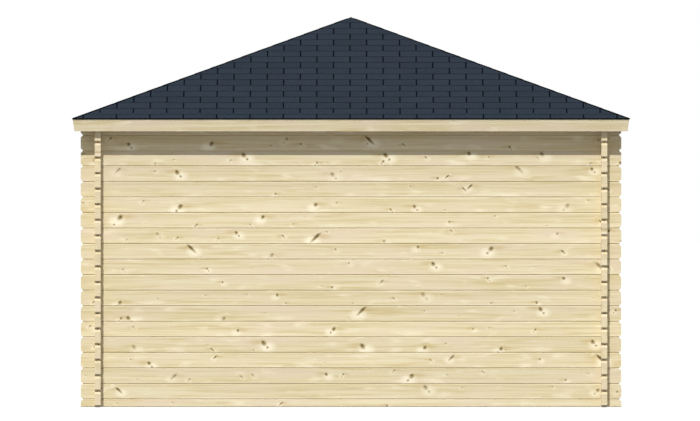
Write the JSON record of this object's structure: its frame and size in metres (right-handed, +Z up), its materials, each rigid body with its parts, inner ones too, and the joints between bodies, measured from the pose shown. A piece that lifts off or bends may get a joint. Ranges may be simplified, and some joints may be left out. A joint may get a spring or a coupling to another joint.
{
  "type": "log summerhouse",
  "caption": "Square log summerhouse with cross-notched corners, a low tented shingle roof with leaning fascia boards, a boarded floor and a glazed door in the front wall.",
  "frame": {"origin": "centre of the square plan, on the ground under the walls", "axes": "+Z up; -Y faces out of the plain back wall that the picture shows, +Y out of the front wall with the door; +X is to the right when the back wall is looked at"},
  "size_m": [4.126, 4.126, 2.889],
  "materials": {
    "log_spruce": "planed untreated spruce, pale, with small knots",
    "roof_spruce": "planed untreated spruce",
    "fascia_spruce": "planed untreated spruce board",
    "floor_spruce": "planed untreated spruce boards",
    "joinery_spruce": "fine planed spruce joinery",
    "bitumen_shingle": "mineral-faced bitumen shingles, dark slate grey, matt",
    "window_glass": "clear float glass",
    "door_steel": "satin steel hardware"
  },
  "bodies": {
    "root": {"back_wall_odd_logs": "log_spruce", "back_wall_even_logs": "log_spruce", "right_wall_odd_logs": "log_spruce", "right_wall_even_logs": "log_spruce", "front_wall_odd_logs": "log_spruce", "front_wall_even_logs": "log_spruce", "left_wall_odd_logs": "log_spruce", "left_wall_even_logs": "log_spruce", "back_eaves_blocks": "roof_spruce", "right_eaves_blocks": "roof_spruce", "front_eaves_blocks": "roof_spruce", "left_eaves_blocks": "roof_spruce", "back_rafters": "roof_spruce", "right_rafters": "roof_spruce", "front_rafters": "roof_spruce", "left_rafters": "roof_spruce", "back_left_hip_rafter": "roof_spruce", "back_right_hip_rafter": "roof_spruce", "front_right_hip_rafter": "roof_spruce", "front_left_hip_rafter": "roof_spruce", "roof_hub": "roof_spruce", "back_roof_boards": "roof_spruce", "right_roof_boards": "roof_spruce", "front_roof_boards": "roof_spruce", "left_roof_boards": "roof_spruce", "back_shingles": "bitumen_shingle", "right_shingles": "bitumen_shingle", "front_shingles": "bitumen_shingle", "left_shingles": "bitumen_shingle", "back_fascia": "fascia_spruce", "right_fascia": "fascia_spruce", "front_fascia": "fascia_spruce", "left_fascia": "fascia_spruce", "floor_bearers": "floor_spruce", "floor_boards": "floor_spruce", "door_threshold": "joinery_spruce", "left_door_jamb": "joinery_spruce", "right_door_jamb": "joinery_spruce", "door_head": "joinery_spruce", "left_door_leaf": "joinery_spruce", "right_door_leaf": "joinery_spruce", "door_glass": "window_glass", "door_handle": "door_steel", "door_hinges": "door_steel"}
  },
  "joints": []
}
